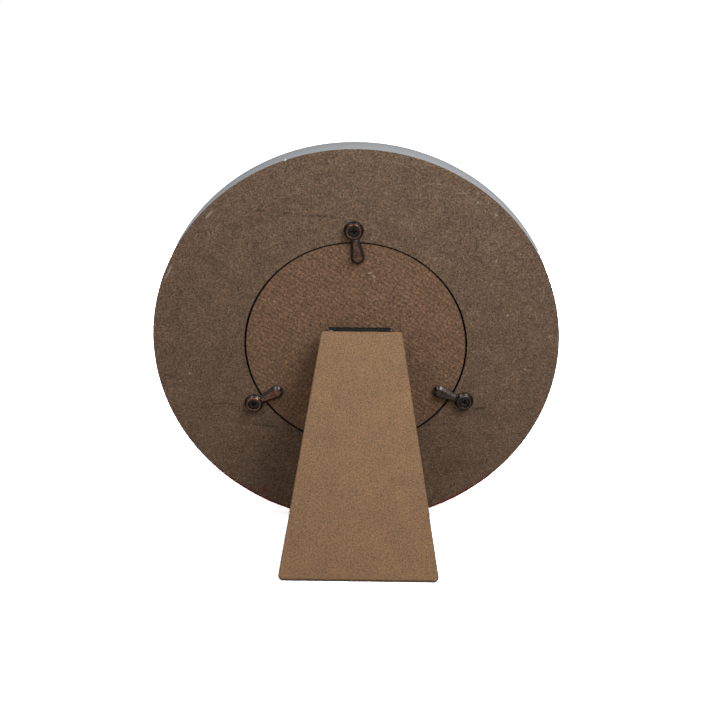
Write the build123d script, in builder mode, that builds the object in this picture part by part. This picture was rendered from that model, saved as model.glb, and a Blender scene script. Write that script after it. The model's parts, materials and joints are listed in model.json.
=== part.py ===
from build123d import *
import os
from math import cos, radians, sin

# Round photo frame that leans back on a hinged strut.
# Millimetres, +Z up. The picture faces -Y, and the strut stands out towards +Y.
# The origin is on the table, at the middle of the frame's footprint.

# How the frame stands
lean_angle = 10.0  # the disc leans back from upright
strut_opening = 35.2  # between the back of the frame and the strut, on its stop

# Ring of 14 mm board with a stepped opening
ring_diameter = 200.0
ring_thickness = 14.3
recess_diameter = 110.0
opening_diameter = 100.0
rim_easing = 1.2  # the front edges are eased by hand
opening_bevel = 2.0

# What lies in the recess, from its bottom to its mouth
glass_thickness = 2.0
print_thickness = 0.25
filler_thickness = 1.8
panel_thickness = 3.0
pane_play = 0.6  # round the glass, print and filler
panel_play = 0.9  # the dark line round the panel
panel_sink = 0.2  # the panel lies this far below the back of the ring

# Turn buttons
button_eye_radius = 4.7
button_eye_height = 2.4
button_eye_bevel_width = 1.2
button_eye_bevel_height = 1.6
button_length = 16.8  # from the screw to the tip
button_tip_radius = 3.3
button_neck_radius = 2.15
button_lever_height = 2.0
button_bevel_width = 1.4
button_bevel_height = 1.4
button_lift = 0.3  # air under a button, so that it turns freely
top_button_setback = 5.9  # from the edge of the recess to the screw
top_button_place_angle = 90.8  # round the recess, from the right, seen from behind
top_button_turn_angle = -81.8  # where the lever points, measured the same way
left_button_setback = 4.9
left_button_place_angle = 211.2
left_button_turn_angle = 29.1
right_button_setback = 6.5
right_button_place_angle = -27.7
right_button_turn_angle = 158.0

# Screws of the buttons
screw_radius = 1.5
screw_head_radius = 2.65
screw_head_sink = 0.45  # the flat head lies this far below the top of the eye
screw_point = 2.0
screw_reach = 9.5  # into the ring, its point included
screw_cross_length = 3.2
screw_cross_width = 0.8
screw_cross_depth = 1.1
screw_running_clearance = 0.08
screw_seat_clearance = 0.1
pilot_clearance = 0.02

# Strut
strut_thickness = 3.0
strut_top_width = 39.0
strut_foot_width = 75.9
strut_corner_radius = 1.6
strut_edge_bevel = 0.4
strut_drop = 1.4  # from the hinge axis down to the top of the board
strut_shift = 1.0  # the board hangs a little to one side of its hinge

# Hinge
hinge_height = 9.9  # above the middle of the disc
hinge_shift = 2.1  # beside the middle of the disc
hinge_length = 30.2
hinge_knuckles = 5
knuckle_gap = 0.3
knuckle_radius = 1.5
knuckle_lift = 0.15  # air between the moving knuckles and the panel
pin_radius = 0.7
pin_running_clearance = 0.05
pin_seat_clearance = 0.01
pin_head_radius = 1.1
pin_head_length = 0.4
leaf_thickness = 0.8
leaf_depth = 9.0
leaf_corner_radius = 1.2
leaf_notch_clearance = 0.35
stop_toe_height = 0.9
stop_gap = 0.05

# Cut tacks of the hinge, with round heads on square shanks
tack_side = 1.2
tack_length = 2.4
tack_head_radius = 1.6
tack_head_height = 0.45
tack_clearance = 0.02
tack_depth_share = 0.6  # of the leaf's depth
tack_spread_shares = (-0.32, 0.32)  # of the hinge's length, from its middle

# Where the pieces are
overrun = 1.0  # cuts run this far past what they cut
ring_radius = ring_diameter / 2
recess_radius = recess_diameter / 2
opening_radius = opening_diameter / 2
strut_tilt = strut_opening - lean_angle
lean_sin, lean_cos = sin(radians(lean_angle)), cos(radians(lean_angle))
tilt_sin, tilt_cos = sin(radians(strut_tilt)), cos(radians(strut_tilt))

pin_offset = knuckle_radius + knuckle_lift - panel_sink  # hinge axis behind the ring's back
disc_height = ring_radius * lean_cos
pin_height = disc_height + hinge_height * lean_cos - pin_offset * lean_sin
pin_setback = hinge_height * lean_sin + pin_offset * lean_cos
strut_reach = (pin_height + knuckle_radius * tilt_sin) / tilt_cos

front_reach = (ring_radius - rim_easing) * lean_sin + ring_thickness * lean_cos
foot_reach = pin_setback + strut_reach * tilt_sin + (knuckle_radius + strut_thickness) * tilt_cos
back_reach = max(foot_reach, ring_radius * lean_sin)
disc_setback = (front_reach - back_reach) / 2

# The back of the ring, looking at it from behind: x to the right, y up, z out of the back
back = Plane(
    origin=(0, disc_setback, disc_height),
    x_dir=(-1, 0, 0),
    z_dir=(0, lean_cos, -lean_sin),
)
hinge_point = back.from_local_coords((hinge_shift, hinge_height, pin_offset))
# Sections across the hinge: x out of the panel or out of the strut, y up
fixed_section = Plane(origin=hinge_point, x_dir=back.z_dir, z_dir=(1, 0, 0))
strut_section = Plane(origin=hinge_point, x_dir=(0, tilt_cos, tilt_sin), z_dir=(1, 0, 0))
# The inner face of the strut: x to the right, y up along the strut, z out
strut_face = Plane(
    origin=strut_section.from_local_coords((knuckle_radius, 0, 0)),
    x_dir=(-1, 0, 0),
    z_dir=strut_section.x_dir,
)
leaf_bed = back.offset(-panel_sink)

rebate_depth = panel_sink + panel_thickness + filler_thickness + print_thickness + glass_thickness
button_top = button_lift + button_eye_height
button_bore_radius = screw_radius + screw_running_clearance
seat_radius = screw_head_radius + screw_seat_clearance
head_top = button_top - screw_head_sink
seat_edge_height = head_top - screw_seat_clearance / 2
knuckle_length = (hinge_length - (hinge_knuckles - 1) * knuckle_gap) / hinge_knuckles
knuckle_pitch = knuckle_length + knuckle_gap
tack_hole_side = tack_side + 2 * tack_clearance


def button_plane(setback, place_angle, turn_angle):
    """The plane under a turn button: origin on its screw, x along its lever."""
    reach = recess_radius + setback
    spot = back.from_local_coords(
        (reach * cos(radians(place_angle)), reach * sin(radians(place_angle)), 0)
    )
    ahead = back.from_local_coords(
        (cos(radians(turn_angle)), sin(radians(turn_angle)), 0)
    )
    return Plane(origin=spot, x_dir=ahead - back.origin, z_dir=back.z_dir)


button_planes = {
    "top": button_plane(top_button_setback, top_button_place_angle, top_button_turn_angle),
    "left": button_plane(
        left_button_setback, left_button_place_angle, left_button_turn_angle
    ),
    "right": button_plane(
        right_button_setback, right_button_place_angle, right_button_turn_angle
    ),
}


def upright_section(plane):
    """The plane that cuts a piece lengthwise: x along it, y out of the given plane."""
    return Plane(origin=plane.origin, x_dir=plane.x_dir, z_dir=-plane.y_dir)


def tack_planes(bed):
    """Where the hinge's tacks go through a leaf that lies on the bed."""
    down = -leaf_depth * tack_depth_share
    return [
        Plane(
            origin=bed.from_local_coords((share * hinge_length, down, 0)),
            x_dir=bed.x_dir,
            z_dir=bed.z_dir,
        )
        for share in tack_spread_shares
    ]


fixed_leaf_bed = Plane(
    origin=leaf_bed.from_local_coords((hinge_shift, hinge_height, 0)),
    x_dir=leaf_bed.x_dir,
    z_dir=leaf_bed.z_dir,
)
moving_leaf_bed = Plane(
    origin=strut_face.origin,
    x_dir=(1, 0, 0),
    z_dir=-strut_face.z_dir,
)
panel_tack_planes = tack_planes(fixed_leaf_bed)
strut_tack_planes = tack_planes(moving_leaf_bed)

# Ring: outer disc, opening and rebate, with eased front edges and pilot holes
with BuildPart() as frame_ring:
    with BuildSketch(back):
        Circle(ring_radius)
        Circle(opening_radius, mode=Mode.SUBTRACT)
    extrude(amount=-ring_thickness)
    front_edges = frame_ring.faces().sort_by(Axis(back.origin, back.z_dir))[0].edges()
    inner_edge, outer_edge = front_edges.sort_by(SortBy.RADIUS)
    chamfer(outer_edge, rim_easing)
    chamfer(inner_edge, opening_bevel)
    with BuildSketch(back):
        Circle(recess_radius)
    extrude(amount=-rebate_depth, mode=Mode.SUBTRACT)
    with BuildSketch(*button_planes.values()):
        Circle(screw_radius + pilot_clearance)
    extrude(amount=-(screw_reach + pilot_clearance), mode=Mode.SUBTRACT)


def round_sheet(plane, radius, thickness):
    """A disc that lies in the recess, in front of the given plane."""
    with BuildPart() as sheet:
        with BuildSketch(plane):
            Circle(radius)
        extrude(amount=-thickness)
    return sheet


glass_pane = round_sheet(
    back.offset(glass_thickness - rebate_depth), recess_radius - pane_play, glass_thickness
)
photo_print = round_sheet(
    back.offset(glass_thickness + print_thickness - rebate_depth),
    recess_radius - pane_play,
    print_thickness,
)
filler_board = round_sheet(
    back.offset(-panel_sink - panel_thickness), recess_radius - pane_play, filler_thickness
)

# Back panel, with the holes of the hinge's tacks
with BuildPart() as back_panel:
    with BuildSketch(leaf_bed):
        Circle(recess_radius - panel_play)
    extrude(amount=-panel_thickness)
    with BuildSketch(*panel_tack_planes):
        Rectangle(tack_hole_side, tack_hole_side)
    extrude(amount=-(tack_length + tack_clearance), mode=Mode.SUBTRACT)

# Strut: a tapered board with a square-cut foot that stands on its inner edge
with BuildPart() as strut_board:
    with BuildSketch(strut_face):
        with BuildLine():
            Polyline(
                (strut_shift - strut_top_width / 2, -strut_drop),
                (strut_shift + strut_top_width / 2, -strut_drop),
                (strut_shift + strut_foot_width / 2, -strut_reach),
                (strut_shift - strut_foot_width / 2, -strut_reach),
                close=True,
            )
        make_face()
        fillet(vertices(), strut_corner_radius)
    extrude(amount=strut_thickness)
    outer_face = strut_board.faces().sort_by(Axis(strut_face.origin, strut_face.z_dir))[-1]
    chamfer(outer_face.edges(), strut_edge_bevel)
    with BuildSketch(*strut_tack_planes):
        Rectangle(tack_hole_side, tack_hole_side)
    extrude(amount=-(tack_length + tack_clearance), mode=Mode.SUBTRACT)


def knuckle_starts(moving):
    """Where the knuckles of one leaf start, along the hinge, from its middle."""
    return [
        knuckle_pitch * count - hinge_length / 2
        for count in range(hinge_knuckles)
        if (count % 2 == 1) == moving
    ]


def hinge_leaf(section, bed, moving, bore_radius):
    """A leaf with its rolled knuckles. The moving ones have a toe that stops the strut."""
    with BuildPart() as leaf:
        with BuildSketch(bed):
            with Locations((0, -leaf_depth / 2)):
                Rectangle(hinge_length, leaf_depth)
            lower_corners = vertices().group_by(Axis(bed.origin, bed.y_dir))[0]
            fillet(lower_corners, leaf_corner_radius)
        extrude(amount=leaf_thickness)
        for start in knuckle_starts(moving):
            with BuildSketch(section.offset(start)):
                Circle(knuckle_radius)
                if moving:
                    with Locations(Rotation(0, 0, 180 - strut_opening)):
                        Rectangle(
                            knuckle_radius + knuckle_lift - stop_gap,
                            stop_toe_height,
                            align=(Align.MIN, Align.MAX),
                        )
            extrude(amount=knuckle_length)
        for start in knuckle_starts(not moving):
            with BuildSketch(section.offset(start - knuckle_gap)):
                Circle(knuckle_radius + leaf_notch_clearance)
            extrude(amount=knuckle_length + 2 * knuckle_gap, mode=Mode.SUBTRACT)
        with BuildSketch(section.offset(-hinge_length / 2 - overrun)):
            Circle(bore_radius)
        extrude(amount=hinge_length + 2 * overrun, mode=Mode.SUBTRACT)
        with BuildSketch(*tack_planes(bed)):
            Rectangle(tack_hole_side, tack_hole_side)
        extrude(amount=leaf_thickness, mode=Mode.SUBTRACT)
    return leaf


hinge_leaf_fixed = hinge_leaf(
    fixed_section, fixed_leaf_bed, False, pin_radius + pin_seat_clearance
)
hinge_leaf_moving = hinge_leaf(
    strut_section, moving_leaf_bed, True, pin_radius + pin_running_clearance
)

# Hinge pin, riveted over at both ends
with BuildPart() as hinge_pin:
    with BuildSketch(fixed_section.offset(-hinge_length / 2)):
        Circle(pin_radius)
    extrude(amount=hinge_length)
    for side in (-1, 1):
        end = Plane(
            origin=hinge_point + Vector(side * hinge_length / 2, 0, 0),
            x_dir=back.z_dir,
            z_dir=(side, 0, 0),
        )
        with BuildSketch(end):
            Circle(pin_head_radius)
        extrude(amount=pin_head_length)


def tacks(planes):
    """Cut tacks, each driven through a square hole of a leaf into the board under it."""
    with BuildPart() as group:
        with BuildSketch(*[plane.offset(-tack_length) for plane in planes]):
            Rectangle(tack_side, tack_side)
        extrude(amount=tack_length + leaf_thickness)
        with BuildSketch(*[plane.offset(leaf_thickness) for plane in planes]):
            Circle(tack_head_radius)
        extrude(amount=tack_head_height)
    return group


panel_tacks = tacks(panel_tack_planes)
strut_tacks = tacks(strut_tack_planes)


def turn_button(plane):
    """A cast button: a round eye with a countersunk hole, and a bevelled lever."""
    bed = plane.offset(button_lift)
    with BuildPart() as button:
        with BuildSketch(bed):
            with Locations((button_length - button_tip_radius, 0)):
                Circle(button_tip_radius)
            with Locations((button_neck_radius, 0)):
                Circle(button_neck_radius)
            make_hull()
        extrude(amount=button_lever_height)
        upper = button.faces().sort_by(Axis(bed.origin, bed.z_dir))[-1]
        chamfer(upper.edges(), button_bevel_height, button_bevel_width, reference=upper)
        with BuildSketch(upright_section(bed)):
            Polygon(
                (0, 0),
                (button_eye_radius, 0),
                (button_eye_radius, button_eye_height - button_eye_bevel_height),
                (button_eye_radius - button_eye_bevel_width, button_eye_height),
                (0, button_eye_height),
                align=None,
            )
        revolve(axis=Axis(bed.origin, bed.z_dir))
        with BuildSketch(upright_section(plane)):
            Polygon(
                (0, 0),
                (button_bore_radius, 0),
                (button_bore_radius, seat_edge_height - seat_radius + button_bore_radius),
                (seat_radius, seat_edge_height),
                (seat_radius, button_top + overrun),
                (0, button_top + overrun),
                align=None,
            )
        revolve(axis=Axis(plane.origin, plane.z_dir), mode=Mode.SUBTRACT)
    return button


def button_screw(plane):
    """A flat countersunk screw with a cross recess, in its hole."""
    with BuildPart() as screw:
        with BuildSketch(upright_section(plane)):
            Polygon(
                (0, head_top),
                (0, -screw_reach),
                (screw_radius, screw_point - screw_reach),
                (screw_radius, head_top - screw_head_radius + screw_radius),
                (screw_head_radius, head_top),
                align=None,
            )
        revolve(axis=Axis(plane.origin, plane.z_dir))
        with BuildSketch(plane.offset(head_top)):
            Rectangle(screw_cross_length, screw_cross_width)
            Rectangle(screw_cross_width, screw_cross_length)
        extrude(amount=-screw_cross_depth, mode=Mode.SUBTRACT)
    return screw


turn_buttons = {side: turn_button(plane) for side, plane in button_planes.items()}
button_screws = {side: button_screw(plane) for side, plane in button_planes.items()}

pieces = {
    "frame_ring": frame_ring,
    "glass_pane": glass_pane,
    "photo_print": photo_print,
    "filler_board": filler_board,
    "back_panel": back_panel,
    "strut_board": strut_board,
    "hinge_leaf_fixed": hinge_leaf_fixed,
    "hinge_leaf_moving": hinge_leaf_moving,
    "hinge_pin": hinge_pin,
    "panel_tacks": panel_tacks,
    "strut_tacks": strut_tacks,
}
for side in button_planes:
    pieces[f"turn_button_{side}"] = turn_buttons[side]
    pieces[f"turn_button_screw_{side}"] = button_screws[side]

os.makedirs("parts", exist_ok=True)
for name, piece in pieces.items():
    piece.part.label = name
    export_step(piece.part, f"parts/{name}.step")
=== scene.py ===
import json
from functools import partial
from math import asin, cos, pi, radians, sin

import bmesh
import bpy
from bpy.props import FloatProperty, FloatVectorProperty, PointerProperty
from mathutils import Matrix, Vector


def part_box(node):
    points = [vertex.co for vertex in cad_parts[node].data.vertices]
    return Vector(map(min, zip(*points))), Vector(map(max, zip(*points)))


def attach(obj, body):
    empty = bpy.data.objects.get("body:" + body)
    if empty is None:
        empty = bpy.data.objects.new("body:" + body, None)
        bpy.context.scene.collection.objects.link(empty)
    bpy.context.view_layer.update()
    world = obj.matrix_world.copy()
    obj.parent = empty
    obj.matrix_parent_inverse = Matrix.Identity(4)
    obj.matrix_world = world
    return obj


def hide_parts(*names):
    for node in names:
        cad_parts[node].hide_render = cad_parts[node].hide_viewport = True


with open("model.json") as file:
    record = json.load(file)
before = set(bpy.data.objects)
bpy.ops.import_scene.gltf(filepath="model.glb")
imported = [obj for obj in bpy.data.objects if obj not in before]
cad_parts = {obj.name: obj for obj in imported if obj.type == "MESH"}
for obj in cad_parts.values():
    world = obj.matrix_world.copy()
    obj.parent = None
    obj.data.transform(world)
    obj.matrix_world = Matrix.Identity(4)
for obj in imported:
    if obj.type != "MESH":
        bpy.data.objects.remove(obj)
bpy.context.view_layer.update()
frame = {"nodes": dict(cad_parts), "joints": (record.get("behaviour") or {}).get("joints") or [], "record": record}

bl_info = {
    "name": "Round photo frame",
    "version": (1, 0, 0),
    "blender": (4, 5, 0),
    "location": "3D View > Sidebar > Round frame",
    "description": "Finishes a round photo frame, seen from its hinged strut",
    "category": "Object",
}

MM = 0.001  # sizes are written in millimetres, and objects are in metres

# Where the pieces are, read from the frame
joints = {joint["name"]: joint for joint in frame["joints"]}
mounts = {mount["name"]: mount for mount in frame["record"]["mounts"]}
nodes = frame["nodes"]

SIDES = ("top", "left", "right")
hinge_point = Vector(joints["strut_hinge"]["pos_m"])
hinge_opening = -radians(joints["strut_hinge"]["range_deg"][0])
back_normal = Vector(joints["button_top_turn"]["axis"])
lean = asin(-back_normal.z)
strut_tilt = hinge_opening - lean
strut_normal = Vector((0, cos(strut_tilt), sin(strut_tilt)))

opening_point = Vector(mounts["photo_opening"]["pos_m"])
button_point = Vector(joints["button_top_turn"]["pos_m"])
back_point = opening_point + back_normal * (button_point - opening_point).dot(back_normal)

opening_length = mounts["photo_opening"]["dims"]["length_mm"]
opening_depth = (button_point - opening_point).dot(back_normal) / MM
rebate_depth = opening_depth - opening_length / 2

ring_low, ring_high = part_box("frame_ring")
ring_radius = (ring_high.x - ring_low.x) / 2 / MM
panel_low, panel_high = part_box("back_panel")
panel_radius = (panel_high.x - panel_low.x) / 2 / MM


def seat(origin, normal):
    """The matrix of a flat face that is seen from behind: X right, Y up, Z out of it."""
    right = Vector((-1, 0, 0))
    matrix = Matrix((right, normal.cross(right), normal)).transposed().to_4x4()
    matrix.translation = origin
    return matrix


back_seat = seat(back_point, back_normal)
hinge_seat = seat(hinge_point, back_normal)
strut_seat = seat(hinge_point, strut_normal)


def linear(hex_colour):
    """The linear colour, with alpha, of an sRGB hex value."""
    shares = [int(hex_colour[start:start + 2], 16) / 255 for start in (0, 2, 4)]
    return [
        share / 12.92 if share <= 0.04045 else ((share + 0.055) / 1.055) ** 2.4
        for share in shares
    ] + [1.0]


def colour_property(name, description, hex_colour):
    return FloatVectorProperty(
        name=name,
        description=description,
        subtype="COLOR",
        size=4,
        min=0.0,
        max=1.0,
        default=linear(hex_colour),
    )


def length_property(name, description, millimetres):
    return FloatProperty(
        name=name,
        description=description,
        unit="LENGTH",
        precision=5,
        default=millimetres * MM,
    )


class BoardFinish(bpy.types.PropertyGroup):
    """Colours and grain of the boards, and the paint on the ring."""

    ring_colour: colour_property("Ring board", "Raw face of the ring", "725D4C")
    ring_dark: colour_property("Ring shade", "Smudges and specks on the ring", "382E27")
    ring_fleck: colour_property("Ring flecks", "Pale fibres in the boards", "B9AB98")
    # Painted shade: a near-black colour on the walls of the recess and on the edges of the panel and card,
    # standing in for the shade in the gap round the panel
    gap_shade_colour: colour_property("Cut walls", "Walls burnished by the cutter", "1E1612")
    enamel_colour: colour_property("Enamel", "Paint on the rim and front", "84878B")
    chalk_colour: colour_property("Primer", "Pale primer where the paint is chipped", "E4E2DC")
    dip_colour: colour_property("Dip", "Paint on the lowest part of the rim", "6E1512")
    panel_colour: colour_property("Panel", "Rough side of the back panel", "7A5D47")
    panel_dark: colour_property("Panel shade", "Worn and dirty places of the panel", "4D3829")
    strut_colour: colour_property("Strut", "Smooth side of the strut", "7F6041")
    strut_dark: colour_property("Strut shade", "Dark specks of the strut", "43301F")
    dip_height: length_property("Dip height", "How high the dipped band reaches", 30.0)
    fibre_size: length_property("Fibre size", "Lumps of fibre in the boards", 0.85)
    strut_grain: length_property("Strut grain", "Finer lumps of the strut's smooth side", 0.75)
    screen_pitch: length_property("Screen pitch", "Dimples of the panel", 2.2)


class ButtonShape(bpy.types.PropertyGroup):
    """Sizes of a turn button and its screw."""

    lift: length_property("Lift", "Air under the button", 0.3)
    eye_radius: length_property("Eye radius", "Outside of the eye", 4.7)
    eye_height: length_property("Eye height", "Top of the eye over its bed", 2.4)
    eye_bevel_width: length_property("Eye bevel width", "Slope round the eye", 1.2)
    eye_bevel_height: length_property("Eye bevel height", "Height of that slope", 1.6)
    bore_radius: length_property("Bore radius", "Hole of the screw", 1.58)
    seat_radius: length_property("Seat radius", "Hole of the screw's head", 2.75)
    lever_length: length_property("Length", "From the screw to the tip", 16.8)
    tip_radius: length_property("Tip radius", "Round end of the lever", 3.3)
    neck_radius: length_property("Neck radius", "Half the lever's width at the eye", 2.15)
    lever_height: length_property("Lever height", "Top of the lever", 2.0)
    bevel_width: length_property("Bevel width", "Slope beside the ridge", 1.4)
    bevel_height: length_property("Bevel height", "Height of that slope", 1.4)
    head_radius: length_property("Head radius", "Head of the screw", 2.65)
    head_sink: length_property("Head sink", "Head below the top of the eye", 0.45)
    shank_radius: length_property("Shank radius", "Shank of the screw", 1.5)
    screw_reach: length_property("Screw reach", "How deep the screw goes", 9.5)
    screw_point: length_property("Screw point", "Length of the screw's point", 2.0)
    cross_length: length_property("Cross length", "Recess for the driver", 3.2)
    cross_width: length_property("Cross width", "Each arm of the recess", 0.8)
    cross_depth: length_property("Cross depth", "How deep the recess is", 1.3)
    grain: length_property("Casting grain", "Size of the cells of the cast mesh", 0.14)


class MetalFinish(bpy.types.PropertyGroup):
    """Colours of the fittings."""

    copper_colour: colour_property("Copper", "Worn ridges of the buttons", "6E4A39")
    patina_colour: colour_property("Patina", "Dark low places of the buttons", "322E2C")
    japan_colour: colour_property("Japan black", "Lacquer of the hinge", "0B0B0C")
    # Pale grey at the hinge's ends: partly rubbed lacquer and partly painted highlights
    rubbed_and_glint_colour: colour_property("Rubbed lacquer", "Scuffed ends of the hinge", "9B9994")
    steel_colour: colour_property("Steel", "Dull wire of the hinge pin", "5A5956")
    oxide_colour: colour_property("Black oxide", "Finish of the screws", "2B2724")


class StageSettings(bpy.types.PropertyGroup):
    """Camera, floor and lamps."""

    lens: FloatProperty(name="Lens", description="Focal length in mm", default=60.0)
    distance: length_property("Distance", "Camera to the middle of the disc", 592.0)
    pitch: FloatProperty(
        name="Pitch",
        description="Camera above the horizon",
        subtype="ANGLE",
        default=radians(15.22),
    )
    yaw: FloatProperty(
        name="Yaw",
        description="Camera beside the middle",
        subtype="ANGLE",
        default=radians(-1.05),
    )
    roll: FloatProperty(
        name="Roll", description="Camera's tilt", subtype="ANGLE", default=radians(0.32)
    )
    move_right: length_property("Move right", "Camera's shift to its right", 2.2)
    move_up: length_property("Move up", "Camera's shift upwards", -6.1)
    floor_colour: colour_property("Floor", "Matt paper under the frame", "958775")
    key_power: FloatProperty(name="Key", description="Power of the key lamp in W", default=2.55)
    side_power: FloatProperty(
        name="Side", description="Power of the lamp beside it in W", default=0.95
    )
    fill_power: FloatProperty(
        name="Fill", description="Power of the fill lamp in W", default=6.0
    )
    world_strength: FloatProperty(
        name="World", description="Light from all round", default=0.135
    )
    floor_size: length_property("Floor size", "Side of the floor", 6000.0)


def node(tree, kind, inputs, output=0, **settings):
    """Adds a node, sets and links it, and gives one output, or the node for an output of None."""
    added = tree.nodes.new("ShaderNode" + kind)
    for name, value in settings.items():
        setattr(added, name, value)
    for key, value in inputs.items() if isinstance(inputs, dict) else enumerate(inputs):
        if isinstance(value, bpy.types.NodeSocket):
            tree.links.new(value, added.inputs[key])
        else:
            added.inputs[key].default_value = value
    return added if output is None else added.outputs[output]


# Settings that many nodes share, and the inputs of a node that mixes colours
SOFT = {"interpolation_type": "SMOOTHSTEP"}
COLOURS = {"data_type": "RGBA", "output": 2}
SHARE, UNDER, OVER = 0, 6, 7

MARK_DEPTH = 3.0  # how far in mm a mark reaches out of the face that it's on
FIBRE_CURL = 1.2  # how much the most curled fibres bend
FIBRE_FLATNESS = 0.35  # depth counts this much, so that fibres just under the face show too
BROAD, WIDE = 3, 12  # sizes of the broader lumps of a board, in fine lumps
TINT_LEAST, TINT_PLAY = (0.93,) * 3, (0.14,) * 3  # share of each primary, and how it varies
SCREEN_ANGLE, DASH_ANGLE = radians(33), radians(60)  # how the panel's dimples and fibres slant


def new_material(name):
    """An empty node material, and the function that adds nodes to it."""
    material = bpy.data.materials.new(name)
    material.use_nodes = True
    material.node_tree.nodes.clear()
    return material, partial(node, material.node_tree)


def millimetres(add, place=Matrix()):
    """Coordinates in mm on a flat face: X right, Y up, Z out, from the object's own place."""
    return add(
        "Mapping",
        {
            "Vector": add("TexCoord", {}, "Object"),
            "Location": place.translation,
            "Rotation": place.to_euler(),
            "Scale": (MM, MM, MM),
        },
        vector_type="TEXTURE",
    )


def face_axes(add, place):
    """How far up a flat face, how far out of it, and how far from its middle."""
    right, up, out = add("SeparateXYZ", [place], None).outputs
    flat = add("CombineXYZ", [right, up])
    return up, out, add("VectorMath", [flat], "Value", operation="LENGTH")


def lumps(add, place, size, seed, stretch=(1.0, 1.0, 1.0), detail=2.0):
    """Noise whose lumps are about so many mm across: its grey output and its coloured one."""
    scaled = add("Mapping", {"Vector": place, "Scale": [1 / (size * share) for share in stretch]})
    return add(
        "TexNoise",
        {"Vector": scaled, "W": seed, "Scale": 1.0, "Detail": detail, "Roughness": 0.75},
        None,
        noise_dimensions="4D",
    ).outputs


def mottled(add, colour, value, contrast, reach=0.25):
    """A colour made lighter and darker by a value that stays within its reach of a half."""
    light = add("MapRange", [value, 0.5 - reach, 0.5 + reach, 1 - contrast, 1 + contrast])
    return add("VectorMath", {0: colour, "Scale": light}, operation="SCALE")


def cells(add, place, spacing, seed):
    """Voronoi cells of a spacing in mm, and three random numbers for each."""
    moved = add("VectorMath", [place, (seed, seed, seed)])
    found = add("TexVoronoi", {"Vector": moved, "Scale": 1 / spacing}, None).outputs
    chances = add("SeparateColor", [found["Color"]], None).outputs
    return moved, found, chances


def fibres(add, place, spacing, length, width, share, seed):
    """Short curled fibres that lie flat in a board: 1 on a fibre and 0 beside it."""
    moved, found, chances = cells(add, place, spacing, seed)
    offset = add("VectorMath", [moved, found["Position"]], operation="SUBTRACT")
    angle = add("Math", [chances[0], 2 * pi], operation="MULTIPLY")
    turned = add("VectorRotate", {"Vector": offset, "Angle": angle}, rotation_type="Z_AXIS")
    along, aside, above = add("SeparateXYZ", [turned], None).outputs
    above = add("Math", [above, FIBRE_FLATNESS], operation="MULTIPLY")
    reach = add("Math", [along, along], operation="MULTIPLY")
    most = FIBRE_CURL / length
    bend = add("MapRange", [chances[1], 0.0, 1.0, -most, most])
    curl = add("Math", [reach, bend, aside], operation="MULTIPLY_ADD")
    near = add("Math", [curl, curl], operation="MULTIPLY")
    near = add("Math", [above, above, near], operation="MULTIPLY_ADD")
    across = add("MapRange", [near, (width / 2) ** 2, 0.0, 0.0, 1.0], **SOFT)
    ends = add("MapRange", [reach, (length / 2) ** 2, (length / 4) ** 2, 0.0, 1.0], **SOFT)
    chosen = add("Math", [chances[2], share], operation="LESS_THAN")
    line = add("Math", [across, ends], operation="MULTIPLY")
    return add("Math", [line, chosen], operation="MULTIPLY")


def specks(add, place, spacing, size, share, seed):
    """Round specks: 1 on a speck and 0 beside it."""
    moved, found, chances = cells(add, place, spacing, seed)
    edge = size / 2 / spacing
    dot = add("MapRange", [found["Distance"], edge, edge / 2, 0.0, 1.0], **SOFT)
    chosen = add("Math", [chances[0], share], operation="LESS_THAN")
    return add("Math", [dot, chosen], operation="MULTIPLY")


def marks(add, place, rows):
    """Soft marks on a flat face, each a row of x, y, angle, length and width."""
    found = 0.0
    for x, y, angle, length, width in rows:
        local = add(
            "Mapping",
            {
                "Vector": place,
                "Location": (x, y, 0),
                "Rotation": (0, 0, radians(angle)),
                "Scale": (length / 2, width / 2, MARK_DEPTH),
            },
            vector_type="TEXTURE",
        )
        mark = add("TexGradient", [local], "Fac", gradient_type="SPHERICAL")
        found = add("Math", [found, mark], operation="MAXIMUM")
    return add("MapRange", [found, 0.0, 0.6, 0.0, 1.0], **SOFT)


def raw_board(add, place, size, colour, contrasts, seed):
    """Pressed wood fibre: fine lumps, broader ones, and a slight play of tints.

    Real fibres are finer than the render shows, so the lumps are about 1 mm across. The
    function gives the colour and the relief.
    """
    fine = lumps(add, place, size, seed)
    broad = lumps(add, place, BROAD * size, seed + 1)
    wide = lumps(add, place, WIDE * size, seed + 2)
    tint = add("VectorMath", [broad["Color"], TINT_PLAY, TINT_LEAST], operation="MULTIPLY_ADD")
    colour = add("VectorMath", [colour, tint], operation="MULTIPLY")
    for field, contrast in zip((fine, broad, wide), contrasts):
        colour = mottled(add, colour, field[0], contrast)
    return colour, fine[0]


# Marks on the back of the ring, on the panel and on the strut, in mm and degrees
RING_SMUDGES = (
    (-44.6, 70.2, 3, 6, 1.8),
    (-38.3, 70.0, 0, 5, 1.8),
    (-30.9, 69.0, -3, 10, 2.0),
    (-15, 67.6, -3, 24, 2.0),
    (-66, -32, 0, 18, 2.0),
    (-47, -44, -8, 22, 2.2),
    (63, -33, 12, 11, 2.0),
)
RING_DOTS = ((-47, -51, 0, 1.6, 1.6), (45, -42, 0, 1.8, 1.6))
RING_SCUFFS = (
    (-69, 68, 45, 8, 1.4),
    (-90, 39, 62, 12, 1.4),
    (-83, -15, 30, 2.4, 1.4),
    (14, 79, 10, 2.2, 1.2),
    (57, 75, 60, 2.2, 1.2),
    (66, 69, -40, 2.6, 1.2),
    (67, 46, 80, 2.4, 1.2),
    (74, 18, 20, 2.2, 1.4),
    (84, -11, -30, 2.6, 1.2),
    (95, 7, 70, 2.0, 1.2),
)
RING_CHIPS = ((-32.4, 94.7, 70, 2.0, 1.3),)
RING_SMEARS = ((-47.5, -82, -50, 6, 3.2),)
PANEL_DOTS = ((1.4, 23, 0, 1.8, 1.6),)
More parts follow.
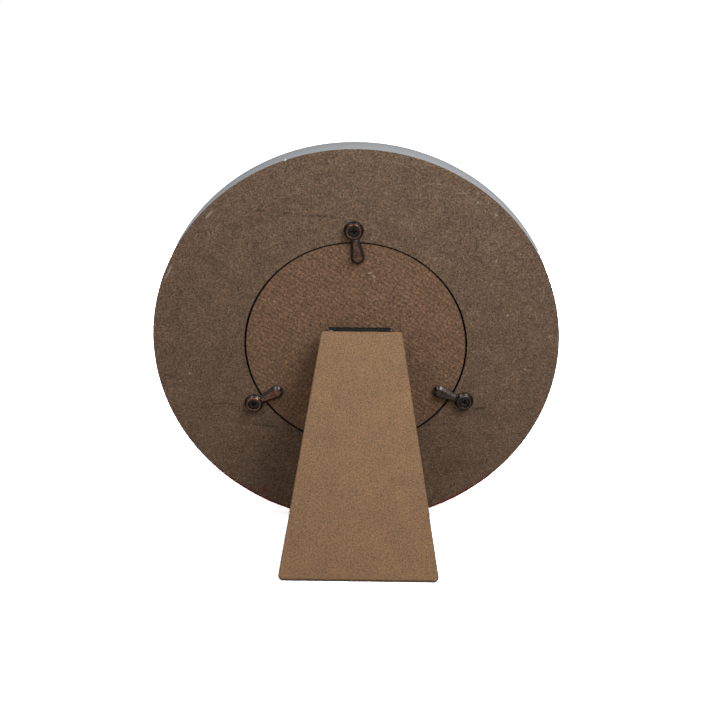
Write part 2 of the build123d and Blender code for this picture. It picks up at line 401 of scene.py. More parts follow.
PANEL_CURLS = ((6.9, 39.4, 20, 2.6, 1.2), (8.9, 37.4, -50, 2.8, 1.2))
STRUT_DOTS = ((18.9, -63, 0, 1.8, 1.8), (-21, -20, 0, 1.2, 1.2))
STRUT_SCUFFS = ((8.7, -6.3, -45, 9, 1.2), (13.7, -91.9, 30, 2.8, 1.2))
# Pale patches at the hinge's ends: partly rubbed lacquer, partly painted highlights
HINGE_SCUFFS_AND_GLINTS = ((-14.0, 0.1, -5, 4.6, 1.5), (15.1, 0.0, 60, 1.2, 0.8))

# How bare the ridges of each turn button are rubbed
BUTTON_WEAR = {"top": 0.9, "left": 1.0, "right": 0.12}

GLASS_TINT = "F4FAF7"
AIR_GAP = 0.03  # in mm, so that the glass and the print don't share a face
CARD_COLOUR, CARD_FLECK = "8F877A", "D8D0BE"
SKY_FOOT, SKY_TOP = "E9E1D2", "A9BCC6"
# Rows of hills in the picture, each with its height and size in mm, and its colour
HILLS = ((4.0, 30.0, "A5B0AE"), (-10.0, 22.0, "7F8E85"), (-26.0, 16.0, "5C6B5E"))


def ring_material(finish):
    """Medium density fibreboard, cut and sanded, with satin enamel on the rim and front.

    The raw face is matt and mottled, with pale curled fibres and dark specks. The walls of the
    recess are painted near black as painted shade for the gap round the panel. The enamel is
    smooth and faintly glossy, painted lighter by the back edge and darker towards the front as
    painted shade, and its lowest part is dipped in a second colour, which bleeds over the edge.
    """
    material, add = new_material("raw_fibreboard_and_satin_enamel")
    place = millimetres(add, back_seat)
    up, out, radius = face_axes(add, place)
    depth = add("Math", [out, -1.0], operation="MULTIPLY")

    board, relief = raw_board(
        add, place, finish.fibre_size / MM, finish.ring_colour[:3], (0.95, 0.28, 0.22), 5.0
    )
    bold = fibres(add, place, 3.2, 2.9, 0.85, 0.2, 11.0)
    faint = fibres(add, place, 1.9, 1.7, 0.6, 0.4, 29.0)
    pale = add("Math", [bold, 0.7], operation="MULTIPLY")
    pale = add("Math", [faint, 0.25, pale], operation="MULTIPLY_ADD", use_clamp=True)
    scuffed = add("Math", [marks(add, place, RING_SCUFFS), 0.6], operation="MULTIPLY")
    pale = add("Math", [pale, scuffed], operation="MAXIMUM")
    board = add("Mix", {SHARE: pale, UNDER: board, OVER: tuple(finish.ring_fleck)}, **COLOURS)
    specked = add("Math", [specks(add, place, 2.0, 1.1, 0.4, 41.0), 0.75], operation="MULTIPLY")
    broken = add("MapRange", [lumps(add, place, 2.0, 43.0)[0], 0.35, 0.6, 0.0, 0.85])
    smudged = add("Math", [marks(add, place, RING_SMUDGES), broken], operation="MULTIPLY")
    dotted = add("Math", [marks(add, place, RING_DOTS), 0.9], operation="MULTIPLY")
    dirt = add("Math", [specked, smudged], operation="MAXIMUM")
    dirt = add("Math", [dirt, dotted], operation="MAXIMUM")
    board = add("Mix", {SHARE: dirt, UNDER: board, OVER: tuple(finish.ring_dark)}, **COLOURS)
    # Painted shade: the walls of the recess are near black, for the shade in the gap round the panel
    wall = add("MapRange", [depth, 0.1, 0.3, 0.0, 1.0], **SOFT)
    board = add("Mix", {SHARE: wall, UNDER: board, OVER: tuple(finish.gap_shade_colour)}, **COLOURS)

    waver = lumps(add, place, 5.0, 17.0)[0]
    height = add("Math", [up, ring_radius - finish.dip_height / MM], operation="ADD")
    dipped = add("MapRange", [height, 0.1, -0.1, 0.0, 1.0], **SOFT)
    # Painted shade: the enamel is lighter by the back edge and darker towards the front
    painted_rim_shade = add("MapRange", [depth, 0.0, 12.0, 1.1, 0.85])
    enamel = add("VectorMath", {0: finish.enamel_colour[:3], "Scale": painted_rim_shade}, operation="SCALE")
    paint = add(
        "Mix", {SHARE: dipped, UNDER: enamel, OVER: tuple(finish.dip_colour)}, **COLOURS
    )
    chips = marks(add, place, RING_CHIPS)
    paint = add("Mix", {SHARE: chips, UNDER: paint, OVER: tuple(finish.chalk_colour)}, **COLOURS)

    # Paint covers the outer wall and the front, and bleeds over the edge where it was dipped
    outside = add("MapRange", [depth, 0.12, 0.2, 0.0, 1.0], **SOFT)
    inside = add("Math", [radius, panel_radius + 2.0], operation="LESS_THAN")
    behind = add("Math", [depth, rebate_depth + 0.1], operation="LESS_THAN")
    recess = add("Math", [inside, behind], operation="MULTIPLY")
    painted = add("Math", [outside, recess], operation="SUBTRACT", use_clamp=True)
    edge = add("Math", [waver, 1.6, radius], operation="MULTIPLY_ADD")
    bleed = add("MapRange", [edge, ring_radius - 0.5, ring_radius, 0.0, 1.0], **SOFT)
    bleed = add("Math", [bleed, dipped], operation="MULTIPLY")
    smear = add("Math", [marks(add, place, RING_SMEARS), 0.6], operation="MULTIPLY")
    bleed = add("Math", [bleed, smear], operation="MAXIMUM")
    bleed = add("Math", [bleed, chips], operation="MAXIMUM")
    painted = add("Math", [painted, bleed], operation="MAXIMUM")
    raw = add("Math", [1.0, painted], operation="SUBTRACT")
    relief = add("Math", [relief, raw], operation="MULTIPLY")
    shader = add(
        "BsdfPrincipled",
        {
            "Base Color": add("Mix", {SHARE: painted, UNDER: board, OVER: paint}, **COLOURS),
            "Roughness": add("MapRange", [painted, 0.0, 1.0, 0.88, 0.5]),
            "IOR": 1.5,
            "Specular IOR Level": 0.3,
            "Normal": add("Bump", {"Strength": 0.5, "Distance": 0.12 * MM, "Height": relief}),
        },
    )
    add("OutputMaterial", [shader], None)
    return material


def panel_material(finish):
    """Hardboard, rough side out, printed by the wire screen that it was pressed on.

    Its dimples run in slanting rows, bent and worn, with dark pressed fibres between them.
    """
    material, add = new_material("hardboard_screen_side")
    place = millimetres(add, back_seat)
    up, out, radius = face_axes(add, place)
    wander = lumps(add, place, 5.0, 31.0)[1]
    bent = add("VectorMath", [wander, (3.0, 3.0, 3.0), place], operation="MULTIPLY_ADD")
    pitch = finish.screen_pitch / MM
    rows = add(
        "Mapping", {"Vector": bent, "Rotation": (0, 0, SCREEN_ANGLE), "Scale": (1 / pitch,) * 3}
    )
    axes = add("SeparateXYZ", [rows], None).outputs
    turns = [add("Math", [axis, 2 * pi], operation="MULTIPLY") for axis in axes[:2]]
    waves = [add("Math", [turn], operation="SINE") for turn in turns]
    screen = add("MapRange", [add("Math", waves), -2.0, 2.0, 0.0, 1.0])
    slanting = add("Mapping", {"Vector": place, "Rotation": (0, 0, DASH_ANGLE)})
    dashes = lumps(add, slanting, 1.1, 37.0, (1.9, 0.8, 1.0))[0]

    colour, relief = raw_board(
        add, place, finish.fibre_size / MM, finish.panel_colour[:3], (0.88, 0.17, 0.14), 51.0
    )
    colour = mottled(add, colour, screen, 0.14, 0.5)
    colour = mottled(add, colour, dashes, 0.4)
    dots = marks(add, place, PANEL_DOTS)
    specked = add("Math", [specks(add, place, 3.0, 1.2, 0.3, 5.0), 0.5], operation="MULTIPLY")
    dirt = add("Math", [dots, specked], operation="MAXIMUM")
    colour = add("Mix", {SHARE: dirt, UNDER: colour, OVER: tuple(finish.panel_dark)}, **COLOURS)
    pale = add("Math", [fibres(add, place, 4.5, 2.4, 0.7, 0.4, 17.0), 0.35], operation="MULTIPLY")
    curls = add("Math", [marks(add, place, PANEL_CURLS), 0.7], operation="MULTIPLY")
    pale = add("Math", [pale, curls], operation="MAXIMUM")
    colour = add("Mix", {SHARE: pale, UNDER: colour, OVER: tuple(finish.ring_fleck)}, **COLOURS)
    # Painted shade: the panel's edge is near black where the gap round it is in shade, and much less dark at the
    # top, where light reaches into the gap
    edge = add("MapRange", [radius, panel_radius - 0.3, panel_radius - 0.1, 0.0, 1.0], **SOFT)
    below = add("MapRange", [up, 0.45 * panel_radius, 0.85 * panel_radius, 1.0, 0.2])
    edge = add("Math", [edge, below], operation="MULTIPLY")
    colour = add("Mix", {SHARE: edge, UNDER: colour, OVER: tuple(finish.gap_shade_colour)}, **COLOURS)
    relief = add("Math", [screen, relief], operation="ADD")
    shader = add(
        "BsdfPrincipled",
        {
            "Base Color": colour,
            "Roughness": add("MapRange", [dashes, 0.3, 0.7, 0.95, 0.8]),
            "IOR": 1.5,
            "Normal": add("Bump", {"Strength": 0.6, "Distance": 0.2 * MM, "Height": relief}),
        },
    )
    add("OutputMaterial", [shader], None)
    return material


def strut_material(finish):
    """Hardboard, smooth side out: dense, pressed flat, faintly satin, with fine dark specks."""
    material, add = new_material("hardboard_smooth_side")
    place = millimetres(add, strut_seat)
    colour, relief = raw_board(
        add, place, finish.strut_grain / MM, finish.strut_colour[:3], (0.95, 0.1, 0.16), 71.0
    )
    specked = add("Math", [specks(add, place, 1.7, 1.0, 0.4, 6.0), 0.6], operation="MULTIPLY")
    dashes = add("Math", [fibres(add, place, 5.0, 2.6, 0.6, 0.3, 9.0), 0.4], operation="MULTIPLY")
    dirt = add("Math", [specked, dashes], operation="MAXIMUM")
    dots = add("Math", [marks(add, place, STRUT_DOTS), 0.8], operation="MULTIPLY")
    dirt = add("Math", [dirt, dots], operation="MAXIMUM")
    colour = add("Mix", {SHARE: dirt, UNDER: colour, OVER: tuple(finish.strut_dark)}, **COLOURS)
    scuffs = add("Math", [marks(add, place, STRUT_SCUFFS), 0.35], operation="MULTIPLY")
    colour = add("Mix", {SHARE: scuffs, UNDER: colour, OVER: tuple(finish.ring_fleck)}, **COLOURS)
    shader = add(
        "BsdfPrincipled",
        {
            "Base Color": colour,
            "Roughness": add("MapRange", [relief, 0.3, 0.7, 0.62, 0.78]),
            "IOR": 1.5,
            "Normal": add("Bump", {"Strength": 0.3, "Distance": 0.1 * MM, "Height": relief}),
        },
    )
    add("OutputMaterial", [shader], None)
    return material


def copper_material(metal, side, ridge):
    """Cast zinc, copper plated and darkened with patina, rubbed bare on its ridges.

    The patina is a dark, slightly blue grey that still shines on its slopes.
    """
    material, add = new_material(f"antique_copper_on_cast_zinc_{side}")
    place = millimetres(add)
    height = add("SeparateXYZ", [place], 2)
    cloud = lumps(add, place, 1.8, 3.0)[0]
    rubbed = add("Math", [cloud, 0.5, height], operation="MULTIPLY_ADD")
    worn = add("MapRange", [rubbed, ridge, ridge + 0.3, 0.0, BUTTON_WEAR[side]], **SOFT)
    patch = add("MapRange", [lumps(add, place, 4.0, 5.0)[0], 0.4, 0.6, 0.25, 1.0])
    worn = add("Math", [worn, patch], operation="MULTIPLY")
    grain = lumps(add, place, 0.5, 4.0)[0]
    colour = add(
        "Mix",
        {SHARE: worn, UNDER: tuple(metal.patina_colour), OVER: tuple(metal.copper_colour)},
        **COLOURS,
    )
    shader = add(
        "BsdfPrincipled",
        {
            "Base Color": mottled(add, colour, cloud, 0.55),
            "Metallic": 1.0,
            "Roughness": add("MapRange", [grain, 0.3, 0.7, 0.2, 0.36]),
            "Normal": add("Bump", {"Strength": 0.35, "Distance": 0.08 * MM, "Height": grain}),
        },
    )
    add("OutputMaterial", [shader], None)
    return material


def oxide_material(metal):
    """Black oxide steel: a thin dark skin, dull where it is dry."""
    material, add = new_material("black_oxide_steel")
    cloud = lumps(add, millimetres(add), 0.9, 12.0)[0]
    shader = add(
        "BsdfPrincipled",
        {
            "Base Color": mottled(add, metal.oxide_colour[:3], cloud, 0.6),
            "Metallic": 1.0,
            "Roughness": add("MapRange", [cloud, 0.3, 0.7, 0.35, 0.6]),
        },
    )
    add("OutputMaterial", [shader], None)
    return material


def japan_material(metal):
    """Stamped steel, black japanned: lacquer gone dull with dust, its ends pale grey, partly rubbed and partly
    painted highlights.
    """
    material, add = new_material("black_japanned_steel")
    place = millimetres(add, hinge_seat)
    cloud = lumps(add, place, 1.5, 14.0)[0]
    # Pale patches at the ends: partly rubbed lacquer, partly painted highlights
    bare = marks(add, place, HINGE_SCUFFS_AND_GLINTS)
    shader = add(
        "BsdfPrincipled",
        {
            "Base Color": add(
                "Mix",
                {SHARE: bare, UNDER: tuple(metal.japan_colour), OVER: tuple(metal.rubbed_and_glint_colour)},
                **COLOURS,
            ),
            "Roughness": add("MapRange", [cloud, 0.3, 0.7, 0.5, 0.7]),
            "IOR": 1.5,
            "Specular IOR Level": 0.15,
        },
    )
    add("OutputMaterial", [shader], None)
    return material


def steel_material(metal):
    """Drawn steel wire, dulled with age, with fine lines along its length."""
    material, add = new_material("drawn_steel_wire")
    lines = lumps(add, millimetres(add), 0.4, 16.0, (8.0, 1.0, 1.0))[0]
    colour = mottled(add, metal.steel_colour[:3], lines, 0.6)
    shader = add(
        "BsdfPrincipled",
        {
            "Base Color": colour,
            "Metallic": 1.0,
            "Roughness": add("MapRange", [lines, 0.3, 0.7, 0.3, 0.5]),
        },
    )
    add("OutputMaterial", [shader], None)
    return material


def glass_material():
    """Float glass: clear, flat and faintly green in its thickness."""
    material, add = new_material("float_glass")
    ripple = lumps(add, millimetres(add), 60.0, 18.0)[0]
    shader = add(
        "BsdfPrincipled",
        {
            "Base Color": linear(GLASS_TINT),
            "Roughness": add("MapRange", [ripple, 0.0, 1.0, 0.0, 0.02]),
            "IOR": 1.52,
            "Transmission Weight": 1.0,
        },
    )
    add("OutputMaterial", [shader], None)
    return material


def print_material():
    """Satin photo paper with a plain picture: a pale sky over three rows of hazy hills."""
    material, add = new_material("satin_photo_paper")
    place = millimetres(add, back_seat)
    right, up = add("SeparateXYZ", [place], None).outputs[:2]
    sky = add("MapRange", [up, -20.0, 50.0, 0.0, 1.0])
    colour = add("Mix", {SHARE: sky, UNDER: linear(SKY_FOOT), OVER: linear(SKY_TOP)}, **COLOURS)
    across = add("CombineXYZ", [right])
    for level, size, hex_colour in HILLS:
        hills = lumps(add, across, size, size)[0]
        crest = add("Math", [hills, size, level - size / 2], operation="MULTIPLY_ADD")
        below = add("Math", [crest, up], operation="SUBTRACT")
        under = add("MapRange", [below, -0.15, 0.15, 0.0, 1.0], **SOFT)
        colour = add("Mix", {SHARE: under, UNDER: colour, OVER: linear(hex_colour)}, **COLOURS)
    grain = lumps(add, place, 0.5, 8.0)[0]
    shader = add(
        "BsdfPrincipled",
        {
            "Base Color": colour,
            "Roughness": add("MapRange", [grain, 0.0, 1.0, 0.4, 0.5]),
            "IOR": 1.5,
        },
    )
    add("OutputMaterial", [shader], None)
    return material


def card_material(finish):
    """Grey filler card, made of pulped paper: matt, with fibres of other colours."""
    material, add = new_material("grey_card")
    place = millimetres(add, back_seat)
    colour = mottled(add, linear(CARD_COLOUR)[:3], lumps(add, place, 0.9, 21.0)[0], 0.35)
    pale = add("Math", [fibres(add, place, 2.5, 2.0, 0.4, 0.5, 3.0), 0.5], operation="MULTIPLY")
    colour = add("Mix", {SHARE: pale, UNDER: colour, OVER: linear(CARD_FLECK)}, **COLOURS)
    radius = face_axes(add, place)[2]
    # Painted shade: the card is near black by its edge, where it shows in the gap round the panel
    edge = add("MapRange", [radius, panel_radius - 1.0, panel_radius - 0.6, 0.0, 1.0])
    colour = add("Mix", {SHARE: edge, UNDER: colour, OVER: tuple(finish.gap_shade_colour)}, **COLOURS)
    add(
        "OutputMaterial",
        [add("BsdfPrincipled", {"Base Color": colour, "Roughness": 0.9, "IOR": 1.5})],
        None,
    )
    return material


WELD_DISTANCE = 1e-6  # in m: corners nearer to each other than this are joined
SHARP_ANGLE = radians(30)  # edges sharper than this are rounded


def dress(name, material, edge=0.0, segments=2):
    """Gives a CAD node its material, and rounds its sharp edges by so many mm.

    The normals follow the larger faces, so that flat faces stay flat beside a rounded edge.
    """
    piece = nodes[name]
    piece.data.materials.clear()
    piece.data.materials.append(material)
    if edge:
        weld = piece.modifiers.new("weld", "WELD")
        weld.merge_threshold = WELD_DISTANCE
        bevel = piece.modifiers.new("edges", "BEVEL")
        bevel.width = edge * MM
        bevel.segments = segments
        bevel.limit_method = "ANGLE"
        bevel.angle_limit = SHARP_ANGLE
        flat = piece.modifiers.new("flat", "WEIGHTED_NORMAL")
        flat.weight = 100
    return piece


def lathe(shape, profile, sides, closed=False):
    """Turns a profile of (radius, height) points about Z, in mm, into a bmesh."""
    rings = []
    for radius, height in profile:
        if radius == 0:
            rings.append([shape.verts.new((0, 0, height * MM))])
            continue
        turns = [2 * pi * side / sides for side in range(sides)]
        rings.append(
            [
                shape.verts.new((radius * cos(turn) * MM, radius * sin(turn) * MM, height * MM))
                for turn in turns
            ]
        )
    pairs = list(zip(rings, rings[1:]))
    if closed:
        pairs.append((rings[-1], rings[0]))
    for lower, upper in pairs:
        for side in range(sides):
            after = (side + 1) % sides
            corners = [
                lower[side % len(lower)],
                lower[after % len(lower)],
                upper[after % len(upper)],
                upper[side % len(upper)],
            ]
            shape.faces.new(list(dict.fromkeys(corners)))


def stack(shape, layers):
    """Joins outlines of as many points each, one over another, and closes both ends."""
    rings = [
        [shape.verts.new([value * MM for value in point]) for point in layer]
        for layer in layers
    ]
    for lower, upper in zip(rings, rings[1:]):
        for side in range(len(lower)):
            after = (side + 1) % len(lower)
            shape.faces.new((lower[side], lower[after], upper[after], upper[side]))
    shape.faces.new(rings[0][::-1])
    shape.faces.new(rings[-1])


def finished_mesh(shape, name):
    """The mesh of a bmesh, with its faces turned outwards."""
    bmesh.ops.recalc_face_normals(shape, faces=shape.faces)
    mesh = bpy.data.meshes.new(name)
    shape.to_mesh(mesh)
    shape.free()
    return mesh


def applied(mesh, name, modifiers):
    """The mesh after these modifiers, each given as its kind and its settings."""
    helper = bpy.data.objects.new(name + "_helper", mesh)
    bpy.context.scene.collection.objects.link(helper)
    for kind, settings in modifiers:
        modifier = helper.modifiers.new(kind.lower(), kind)
        for key, value in settings.items():
            setattr(modifier, key, value)
    graph = bpy.context.evaluated_depsgraph_get()
    result = bpy.data.meshes.new_from_object(helper.evaluated_get(graph))
    result.name = name
    bpy.data.objects.remove(helper)
    return result


def add_piece(name, mesh, material, place):
    """A new object of the mesh, whose finish is its own."""
    piece = bpy.data.objects.new(name, mesh.copy())
    bpy.context.scene.collection.objects.link(piece)
    piece.matrix_world = place
    piece.data.materials.clear()
    piece.data.materials.append(material)
    return piece


# Small sizes of the buttons and screws, in mm where nothing else is said
NECK_START = 0.3  # the neck's round end lies this far outside the hole of the screw's head
EYE_EDGE = 0.1
LEVER_EDGE = 0.15
HEAD_EDGE = 0.12
CROSS_EDGE = 0.06
TIP_DEPTH = 0.2  # what reaches this near to the farthest point belongs to the tip
CROSS_ANGLE = 0.7  # in radians: edges of the recess sharper than this are rounded
CREASE_ANGLE = radians(40)  # edges of a screw sharper than this aren't shaded smooth
EYE_SIDES, SCREW_SIDES = 96, 64


def lever_outline(shape, inset, height, points=64):
    """The outline of a lever, drawn in by the inset: a round neck and a round tip, joined."""
    neck = shape.neck_radius / MM - inset
    tip = shape.tip_radius / MM - inset
    neck_x = (shape.seat_radius + shape.neck_radius) / MM + NECK_START
    tip_x = (shape.lever_length - shape.tip_radius) / MM
    outline = []
    for point in range(points):
        turn = 2 * pi * point / points
        middle, radius = max(
            ((neck_x, neck), (tip_x, tip)), key=lambda end: end[0] * cos(turn) + end[1]
        )
        outline.append((middle + radius * cos(turn), radius * sin(turn), height))
    return outline


def button_mesh(sizes):
    """A cast turn button: a round eye, countersunk for its screw, and a bevelled lever."""
    lift, eye = sizes.lift / MM, sizes.eye_radius / MM
    bore, hole = sizes.bore_radius / MM, sizes.seat_radius / MM
    top = lift + sizes.eye_height / MM
    seat_edge = top - sizes.head_sink / MM
    shape = bmesh.new()
    lathe(
        shape,
        [
            (bore, lift),
            (eye, lift),
            (eye, top - sizes.eye_bevel_height / MM),
            (eye - sizes.eye_bevel_width / MM, top),
            (hole + EYE_EDGE, top),
            (hole, top - EYE_EDGE),
            (hole, seat_edge),
            (bore, seat_edge - hole + bore),
        ],
        EYE_SIDES,
        closed=True,
    )
    inset, rise = sizes.bevel_width / MM, sizes.bevel_height / MM
    crown = lift + sizes.lever_height / MM
    stack(
        shape,
        [
            lever_outline(sizes, LEVER_EDGE, lift),
            lever_outline(sizes, 0.0, lift + LEVER_EDGE),
            lever_outline(sizes, 0.0, crown - rise),
            lever_outline(sizes, inset, crown),
        ],
    )
    return applied(
        finished_mesh(shape, "turn_button_blank"),
        "turn_button_cast",
        [
            ("REMESH", {"mode": "VOXEL", "voxel_size": sizes.grain}),
            ("SMOOTH", {"factor": 0.5, "iterations": 5}),
        ],
    )


def cross_outline(length, width, height):
    """The outline of a cross recess."""
    far, near = length / 2, width / 2
    quarter = [(far, -near), (far, near), (near, near)]
    return [
        (x * cos(turn) - y * sin(turn), x * sin(turn) + y * cos(turn), height)
        for turn in (0, pi / 2, pi, 3 * pi / 2)
        for x, y in quarter
    ]


def screw_mesh(sizes):
    """A flat countersunk screw with a cross recess that narrows towards its floor."""
    head, shank = sizes.head_radius / MM, sizes.shank_radius / MM
    top = (sizes.lift + sizes.eye_height - sizes.head_sink) / MM
    reach, point = sizes.screw_reach / MM, sizes.screw_point / MM
    length, width = sizes.cross_length / MM, sizes.cross_width / MM
    shape = bmesh.new()
    lathe(
        shape,
        [
            (0, top),
            (head - HEAD_EDGE, top),
            (head, top - HEAD_EDGE),
            (shank, top - head + shank),
            (shank, point - reach),
            (0, -reach),
        ],
        SCREW_SIDES,
    )
    cutter_shape = bmesh.new()
    stack(
        cutter_shape,
        [
            cross_outline(length / 2, width / 2, top - sizes.cross_depth / MM),
            cross_outline(length, width, top),
            cross_outline(length, width, top + 1),
        ],
    )
    cutter = bpy.data.objects.new("cross_cutter", finished_mesh(cutter_shape, "cross_cutter"))
    bpy.context.scene.collection.objects.link(cutter)
    bpy.context.view_layer.update()
    mesh = applied(
        finished_mesh(shape, "screw_blank"),
        "cross_screw",
        [
            ("BOOLEAN", {"operation": "DIFFERENCE", "object": cutter, "solver": "EXACT"}),
            (
                "BEVEL",
                {
                    "width": CROSS_EDGE * MM,
                    "segments": 2,
                    "limit_method": "ANGLE",
                    "angle_limit": CROSS_ANGLE,
                },
            ),
        ],
    )
    bpy.data.objects.remove(cutter)
    return mesh


def button_place(side):
    """Where a turn button is: its origin on its screw, X along its lever."""
    point = Vector(joints[f"button_{side}_turn"]["pos_m"])
    base = seat(point, back_normal)
    flat = [base.inverted() @ vertex.co for vertex in nodes[f"turn_button_{side}"].data.vertices]
    tip_start = max(spot.xy.length for spot in flat) - TIP_DEPTH * MM
    ahead = sum((spot.xy for spot in flat if spot.xy.length > tip_start), Vector((0, 0)))
    turn = Vector((1, 0)).angle_signed(ahead)
    return base @ Matrix.Rotation(-turn, 4, "Z")


class ROUNDFRAME_OT_ring(bpy.types.Operator):
    """Finish the ring"""

    bl_idname = "round_frame.ring"
    bl_label = "Ring"

    def execute(self, context):
        dress("frame_ring", ring_material(context.scene.board_finish), 0.3)
        return {"FINISHED"}


class ROUNDFRAME_OT_picture(bpy.types.Operator):
    """Finish the glass, the print and the card behind it"""

    bl_idname = "round_frame.picture"
    bl_label = "Glass and picture"

    def execute(self, context):
        glass = dress("glass_pane", glass_material(), 0.15)
        air = glass.modifiers.new("air", "DISPLACE")
        air.mid_level = 0.0
        air.strength = -AIR_GAP * MM
        dress("photo_print", print_material())
        dress("filler_board", card_material(context.scene.board_finish))
        return {"FINISHED"}


class ROUNDFRAME_OT_boards(bpy.types.Operator):
    """Finish the back panel and the strut"""

    bl_idname = "round_frame.boards"
    bl_label = "Panel and strut"

    def execute(self, context):
        finish = context.scene.board_finish
        dress("back_panel", panel_material(finish), 0.2)
        dress("strut_board", strut_material(finish), 0.25)
        return {"FINISHED"}


class ROUNDFRAME_OT_hinge(bpy.types.Operator):
    """Finish the hinge, its pin and its tacks"""

    bl_idname = "round_frame.hinge"
    bl_label = "Hinge"

    def execute(self, context):
        metal = context.scene.metal_finish
        japan, oxide = japan_material(metal), oxide_material(metal)
        for name in ("hinge_leaf_fixed", "hinge_leaf_moving"):
            dress(name, japan, 0.12)
        dress("hinge_pin", steel_material(metal), 0.2, 3)
        for name in ("panel_tacks", "strut_tacks"):
            dress(name, oxide, 0.2, 3)
        return {"FINISHED"}


class ROUNDFRAME_OT_buttons(bpy.types.Operator):
    """Make the three turn buttons and their screws"""

    bl_idname = "round_frame.buttons"
    bl_label = "Turn buttons"

    def execute(self, context):
        sizes, metal = context.scene.button_shape, context.scene.metal_finish
        button, screw = button_mesh(sizes), screw_mesh(sizes)
        ridge = (sizes.lift + sizes.lever_height) / MM
        oxide = oxide_material(metal)
        for side in SIDES:
            place = button_place(side)
            copper = copper_material(metal, side, ridge)
            cast = add_piece(f"cast_button_{side}", button, copper, place)
            cast.data.shade_smooth()
            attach(cast, f"button_{side}")
            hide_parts(f"turn_button_{side}")
            fixing = add_piece(f"cross_screw_{side}", screw, oxide, place)
            fixing.data.shade_smooth()
            fixing.data.set_sharp_from_angle(angle=CREASE_ANGLE)
            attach(fixing, "frame")
            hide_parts(f"turn_button_screw_{side}")
        return {"FINISHED"}


# Each lamp's name, the setting of its power, its side and place in m, and whether gloss shows it
LAMPS = (
    ("key_lamp", "key_power", 0.25, (-0.26, 0.27, 0.48), True),
    ("side_lamp", "side_power", 0.25, (0.25, 0.24, 0.5), True),
    ("fill_lamp", "fill_power", 0.5, (-0.12, -0.85, 0.18), False),
)

# Where the floor starts to look brighter and where it stops, in m, and how bright it looks
# at both places, in gloss and to the camera
FLOOR_REACH = (0.5, 2.0)
GLOSS_LEVELS = (1.0, 8.0)
VIEW_LEVELS = (4.0, 16.0)

SENSOR_WIDTH = 36.0  # in mm


def add_lamp(name, power, size, spot, gleams):
    """A soft square lamp, aimed at the disc, that no camera sees."""
    lamp = bpy.data.lights.new(name, "AREA")
    lamp.energy = power
    lamp.size = size
    holder = bpy.data.objects.new(name, lamp)
    bpy.context.scene.collection.objects.link(holder)
    holder.location = spot
    holder.rotation_euler = (back_point - Vector(spot)).to_track_quat("-Z", "Y").to_euler()
    holder.visible_camera = False
    holder.visible_glossy = gleams


def seen_directly(add):
    """1 where a ray comes straight from the camera, and 1 where it comes by gloss or glass.

    Rays that light a matt face count as neither, also where they pass through glass.
    """
    rays = add("LightPath", {}, None).outputs
    gloss = add("Math", [rays["Is Glossy Ray"], rays["Is Transmission Ray"]], operation="MAXIMUM")
    first = add("Math", [rays["Diffuse Depth"], 0.5], operation="LESS_THAN")
    return rays["Is Camera Ray"], add("Math", [gloss, first], operation="MULTIPLY")


def floor_material(stage):
    """Matt paper, seen white, also far away where the lamps no longer reach.

    Near the frame it keeps the shadow.
    """
    material, add = new_material("matt_paper")
    camera, gloss = seen_directly(add)
    away = add("VectorMath", [add("TexCoord", {}, "Object")], "Value", operation="LENGTH")
    in_gloss = add("MapRange", [away, *FLOOR_REACH, *GLOSS_LEVELS])
    in_view = add("MapRange", [away, *FLOOR_REACH, *VIEW_LEVELS])
    colour = add(
        "Mix", {SHARE: gloss, UNDER: tuple(stage.floor_colour), OVER: in_gloss}, **COLOURS
    )
    colour = add("Mix", {SHARE: camera, UNDER: colour, OVER: in_view}, **COLOURS)
    add("OutputMaterial", [add("BsdfDiffuse", {"Color": colour})], None)
    return material


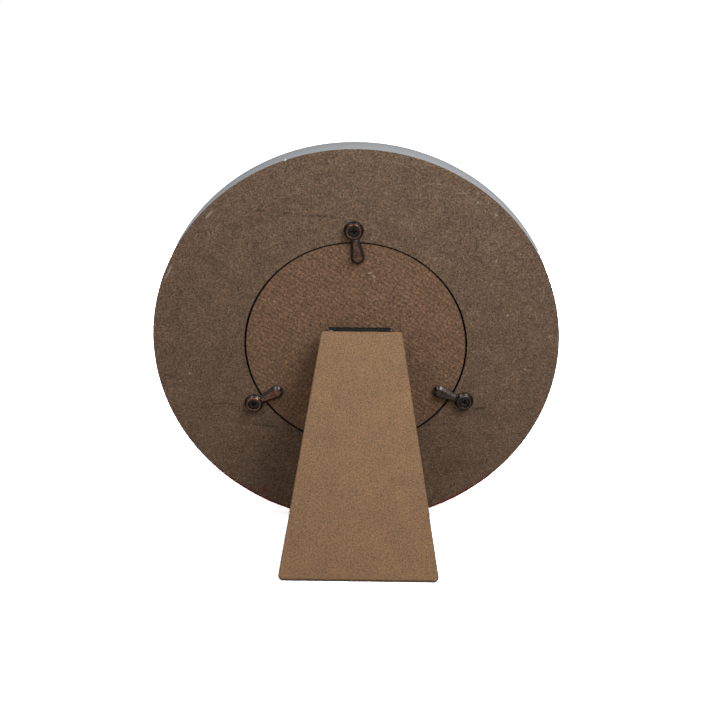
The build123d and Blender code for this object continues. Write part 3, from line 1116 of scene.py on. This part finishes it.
class ROUNDFRAME_OT_stage(bpy.types.Operator):
    """Set up the floor, the lamps and the camera"""

    bl_idname = "round_frame.stage"
    bl_label = "Stage"

    def execute(self, context):
        scene, stage = context.scene, context.scene.stage_settings
        half = stage.floor_size / 2
        mesh = bpy.data.meshes.new("floor")
        mesh.from_pydata(
            [(-half, -half, 0), (half, -half, 0), (half, half, 0), (-half, half, 0)],
            [],
            [(0, 1, 2, 3)],
        )
        floor = bpy.data.objects.new("floor", mesh)
        scene.collection.objects.link(floor)
        mesh.materials.append(floor_material(stage))

        world = bpy.data.worlds.new("studio")
        scene.world = world
        world.use_nodes = True
        world.node_tree.nodes.clear()
        add = partial(node, world.node_tree)
        camera_ray, gloss = seen_directly(add)
        seen = add("Math", [camera_ray, gloss], operation="MAXIMUM")
        strength = add("MapRange", [seen, 0.0, 1.0, stage.world_strength, 1.0])
        light = add("Background", {"Color": (1, 1, 1, 1), "Strength": strength})
        add("OutputWorld", [light], None)

        for name, power, size, spot, gleams in LAMPS:
            add_lamp(name, getattr(stage, power), size, spot, gleams)

        across = Vector((sin(stage.yaw), cos(stage.yaw), 0))
        towards = across * cos(stage.pitch) + Vector((0, 0, sin(stage.pitch)))
        right = Vector((0, 0, 1)).cross(towards).normalized()
        up = towards.cross(right)
        tilted_right = right * cos(stage.roll) + up * sin(stage.roll)
        tilted_up = up * cos(stage.roll) - right * sin(stage.roll)
        camera = bpy.data.objects.new("camera", bpy.data.cameras.new("camera"))
        scene.collection.objects.link(camera)
        camera.data.lens = stage.lens
        camera.data.sensor_width = SENSOR_WIDTH
        matrix = Matrix((tilted_right, tilted_up, towards)).transposed().to_4x4()
        matrix.translation = (
            back_point
            + towards * stage.distance
            + tilted_right * stage.move_right
            + tilted_up * stage.move_up
        )
        camera.matrix_world = matrix
        scene.camera = camera
        scene.view_settings.view_transform = "Standard"
        return {"FINISHED"}


class ROUNDFRAME_PT_panel(bpy.types.Panel):
    """Lists the steps that finish the frame"""

    bl_idname = "ROUNDFRAME_PT_panel"
    bl_label = "Round frame"
    bl_space_type = "VIEW_3D"
    bl_region_type = "UI"
    bl_category = "Round frame"

    def draw(self, context):
        for operator in OPERATORS:
            self.layout.operator(operator.bl_idname)


SETTINGS = {
    "board_finish": BoardFinish,
    "button_shape": ButtonShape,
    "metal_finish": MetalFinish,
    "stage_settings": StageSettings,
}
OPERATORS = (
    ROUNDFRAME_OT_ring,
    ROUNDFRAME_OT_picture,
    ROUNDFRAME_OT_boards,
    ROUNDFRAME_OT_hinge,
    ROUNDFRAME_OT_buttons,
    ROUNDFRAME_OT_stage,
)


def register():
    for name, group in SETTINGS.items():
        bpy.utils.register_class(group)
        setattr(bpy.types.Scene, name, PointerProperty(type=group))
    for kind in (*OPERATORS, ROUNDFRAME_PT_panel):
        bpy.utils.register_class(kind)


def unregister():
    for kind in reversed((*OPERATORS, ROUNDFRAME_PT_panel)):
        bpy.utils.unregister_class(kind)
    for name, group in SETTINGS.items():
        delattr(bpy.types.Scene, name)
        bpy.utils.unregister_class(group)


def main():
    register()
    for operator in OPERATORS:
        family, step = operator.bl_idname.split(".")
        getattr(getattr(bpy.ops, family), step)()


if __name__ == "__main__":
    main()
